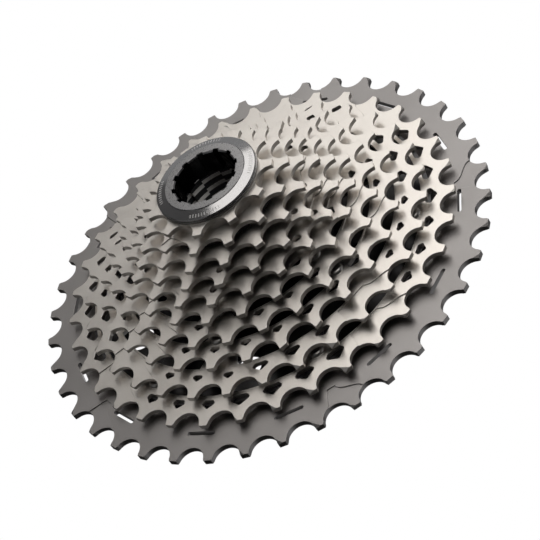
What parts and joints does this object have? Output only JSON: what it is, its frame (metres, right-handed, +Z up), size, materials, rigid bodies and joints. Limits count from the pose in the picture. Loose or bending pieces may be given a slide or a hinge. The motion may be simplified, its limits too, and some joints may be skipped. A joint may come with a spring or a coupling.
{
  "type": "bicycle cassette sprocket",
  "caption": "Stepped cone of toothed sprockets on splined carriers, held by a threaded lock ring with a tool socket.",
  "frame": {"origin": "on the spin axis, where the rear carrier's hub stops against the shoulder of the freehub body", "axes": "+Y along the spin axis towards the wheel (inboard), -Y outboard towards the lock ring, +Z up"},
  "size_m": [0.165, 0.0445, 0.165],
  "materials": {
    "anodised_grey": "satin grey anodised",
    "nickel_steel": "satin nickel plate with a warm tint",
    "carrier_aluminium": "dark grey anodised",
    "rivet_steel": "plain satin",
    "spacer_resin": "moulded matt black",
    "washer_steel": "bright rolled",
    "black_anodised": "black anodised, turned, with a bright face ring"
  },
  "bodies": {
    "rear_cluster": {"sprocket_40t": "anodised_grey", "rear_carrier": "carrier_aluminium", "sprocket_35t": "nickel_steel", "rear_rivets": "rivet_steel"},
    "front_cluster": {"sprocket_31t": "nickel_steel", "sprocket_27t": "nickel_steel", "sprocket_24t": "nickel_steel", "front_carrier": "carrier_aluminium", "outer_rivets": "rivet_steel", "inner_rivets": "rivet_steel"},
    "sprocket_21t_body": {"sprocket_21t": "nickel_steel"},
    "spacer_21_19_body": {"spacer_21_19": "spacer_resin"},
    "sprocket_19t_body": {"sprocket_19t": "nickel_steel"},
    "spacer_19_17_body": {"spacer_19_17": "spacer_resin"},
    "sprocket_17t_body": {"sprocket_17t": "nickel_steel"},
    "spacer_17_15_body": {"spacer_17_15": "spacer_resin"},
    "sprocket_15t_body": {"sprocket_15t": "nickel_steel"},
    "spacer_15_13_body": {"spacer_15_13": "spacer_resin"},
    "sprocket_13t_body": {"sprocket_13t": "nickel_steel"},
    "sprocket_11t_body": {"sprocket_11t": "nickel_steel"},
    "washer_body": {"lock_ring_washer": "washer_steel"},
    "lock_ring_body": {"lock_ring": "black_anodised"}
  },
  "joints": [
    {"name": "front_cluster_draw_off", "type": "slide", "parent": "rear_cluster", "child": "front_cluster", "axis": [0, -1, 0], "range_m": [0, 0.012]},
    {"name": "sprocket_21t_draw_off", "type": "slide", "parent": "front_cluster", "child": "sprocket_21t_body", "axis": [0, -1, 0], "range_m": [0, 0.012]},
    {"name": "spacer_21_19_draw_off", "type": "slide", "parent": "sprocket_21t_body", "child": "spacer_21_19_body", "axis": [0, -1, 0], "range_m": [0, 0.012]},
    {"name": "sprocket_19t_draw_off", "type": "slide", "parent": "spacer_21_19_body", "child": "sprocket_19t_body", "axis": [0, -1, 0], "range_m": [0, 0.012]},
    {"name": "spacer_19_17_draw_off", "type": "slide", "parent": "sprocket_19t_body", "child": "spacer_19_17_body", "axis": [0, -1, 0], "range_m": [0, 0.012]},
    {"name": "sprocket_17t_draw_off", "type": "slide", "parent": "spacer_19_17_body", "child": "sprocket_17t_body", "axis": [0, -1, 0], "range_m": [0, 0.012]},
    {"name": "spacer_17_15_draw_off", "type": "slide", "parent": "sprocket_17t_body", "child": "spacer_17_15_body", "axis": [0, -1, 0], "range_m": [0, 0.012]},
    {"name": "sprocket_15t_draw_off", "type": "slide", "parent": "spacer_17_15_body", "child": "sprocket_15t_body", "axis": [0, -1, 0], "range_m": [0, 0.012]},
    {"name": "spacer_15_13_draw_off", "type": "slide", "parent": "sprocket_15t_body", "child": "spacer_15_13_body", "axis": [0, -1, 0], "range_m": [0, 0.012]},
    {"name": "sprocket_13t_draw_off", "type": "slide", "parent": "spacer_15_13_body", "child": "sprocket_13t_body", "axis": [0, -1, 0], "range_m": [0, 0.012]},
    {"name": "sprocket_11t_draw_off", "type": "slide", "parent": "sprocket_13t_body", "child": "sprocket_11t_body", "axis": [0, -1, 0], "range_m": [0, 0.012]},
    {"name": "lock_ring_travel", "type": "slide", "parent": "sprocket_11t_body", "child": "washer_body", "axis": [0, -1, 0], "range_m": [0, 0.0051]},
    {"name": "lock_ring_turn", "type": "hinge", "parent": "washer_body", "child": "lock_ring_body", "pos_m": [0, -0.0395, 0], "axis": [0, -1, 0], "range_deg": [0, 1800]}
  ],
  "couplings": [
    {"joint": "lock_ring_travel", "follows": "lock_ring_turn", "m_per_rad": 0.00015915}
  ]
}
